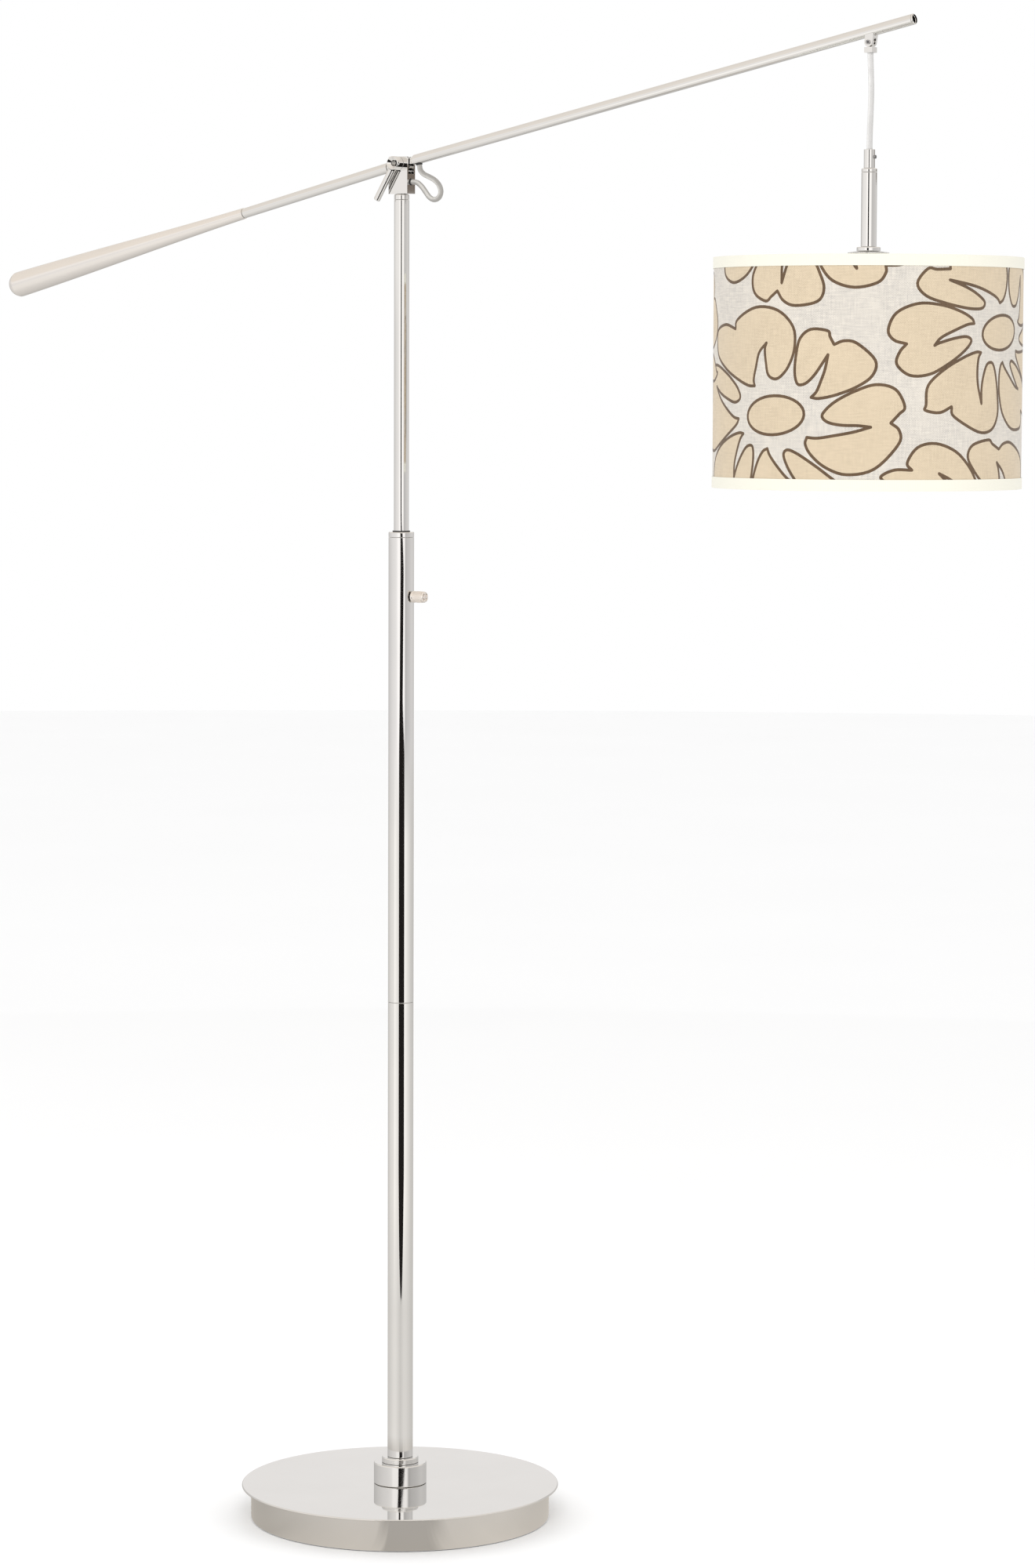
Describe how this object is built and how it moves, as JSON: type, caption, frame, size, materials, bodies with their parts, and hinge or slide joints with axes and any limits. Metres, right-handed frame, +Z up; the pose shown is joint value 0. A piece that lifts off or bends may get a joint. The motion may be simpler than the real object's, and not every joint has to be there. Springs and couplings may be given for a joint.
{
  "type": "adjustable arm floor lamp",
  "caption": "Floor lamp with a round weighted base, a telescoping pole and a tilting counterbalanced boom that carries a hanging drum shade.",
  "frame": {"origin": "centre of the base's underside, on the floor, on the pole's axis", "axes": "+Z up along the pole, +X along the boom towards the shade, +Y to the side opposite the clamp lever"},
  "size_m": [1.4025, 0.381, 1.7669],
  "materials": {
    "chrome": "polished",
    "iron": "rough cast, painted",
    "steel": "turned",
    "brass": "turned",
    "felt": "felt",
    "black_plastic": "moulded",
    "nylon": "moulded",
    "cord": "translucent jacket",
    "printed_linen": "linen weave with a printed bloom pattern, on a stiff backing",
    "cream_trim": "folded tape",
    "white_wire": "powder coat",
    "opal_glass": "frosted"
  },
  "bodies": {
    "base": {"floor_pad": "felt", "base_weight": "iron", "base_skirt": "chrome", "cord_gland": "black_plastic", "base_plate": "chrome", "base_washer": "steel", "base_nut": "steel", "base_nipple": "steel", "pole_drum": "chrome", "pole_collar": "chrome", "pole_foot_plug": "steel", "pole_bottom_section": "chrome", "pole_coupler": "steel", "pole_top_section": "chrome", "pole_cap_ring": "chrome", "pole_guide_bush": "nylon", "lock_boss": "brass"},
    "lock_knob": {"lock_knob": "chrome", "lock_screw": "steel", "lock_knob_washer": "black_plastic"},
    "glide": {"glide_bush": "nylon"},
    "mast": {"mast_tube": "chrome", "mast_foot": "steel", "mast_stop_ring": "steel", "mast_ferrule": "chrome", "head_block": "chrome", "head_cord_bush": "black_plastic", "pivot_bolt": "chrome", "friction_washer_back": "nylon", "friction_washer_front": "nylon", "cord_loop": "cord"},
    "clamp_lever": {"lever_hub": "chrome", "lever_bar": "chrome"},
    "boom": {"knuckle": "steel", "boom_front_tube": "chrome", "boom_rear_tube": "chrome", "boom_cord_bush": "black_plastic", "boom_tip_cap": "chrome", "handle_weight": "chrome", "hanger_fork": "chrome", "hanger_pin": "steel"},
    "hanger": {"hanger_tongue": "chrome"},
    "pendant": {"pendant_cord": "cord", "cord_sleeve": "chrome", "sleeve_screw": "steel", "stem_ring": "chrome", "stem_tube": "chrome", "stem_seat": "chrome", "shade_washer": "chrome", "pendant_nipple": "steel", "shade_spider": "white_wire", "shade_lower_wire": "white_wire", "shade_drum": "printed_linen", "shade_trim_top": "cream_trim", "shade_trim_bottom": "cream_trim", "socket_shell": "black_plastic", "socket_insulator": "nylon", "lamp_cap": "brass", "bulb_glass": "opal_glass"}
  },
  "joints": [
    {"name": "lock_knob_turn", "type": "hinge", "parent": "base", "child": "lock_knob", "pos_m": [0, 0, 1.11], "axis": [1, 0, 0], "range_deg": [0, 540]},
    {"name": "height_slide", "type": "slide", "parent": "base", "child": "glide", "axis": [0, 0, 1], "range_m": [-0.3, 0.09]},
    {"name": "mast_turn", "type": "hinge", "parent": "glide", "child": "mast", "pos_m": [0, 0, 1.3], "axis": [0, 0, 1], "range_deg": [-175, 175]},
    {"name": "lever_turn", "type": "hinge", "parent": "mast", "child": "clamp_lever", "pos_m": [0, -0.014, 1.62], "axis": [0, 1, 0], "range_deg": [-45, 75]},
    {"name": "boom_tilt", "type": "hinge", "parent": "mast", "child": "boom", "pos_m": [0, 0, 1.62], "axis": [0, 1, 0], "range_deg": [-14, 39], "deforming": ["cord_loop"]},
    {"name": "hanger_swing", "type": "hinge", "parent": "boom", "child": "hanger", "pos_m": [0.63262, 0, 1.73774], "axis": [0, 1, 0], "range_deg": [-40, 40]},
    {"name": "pendant_sway", "type": "hinge", "parent": "hanger", "child": "pendant", "pos_m": [0.63262, 0, 1.73024], "axis": [1, 0, 0], "range_deg": [-8, 8]}
  ]
}
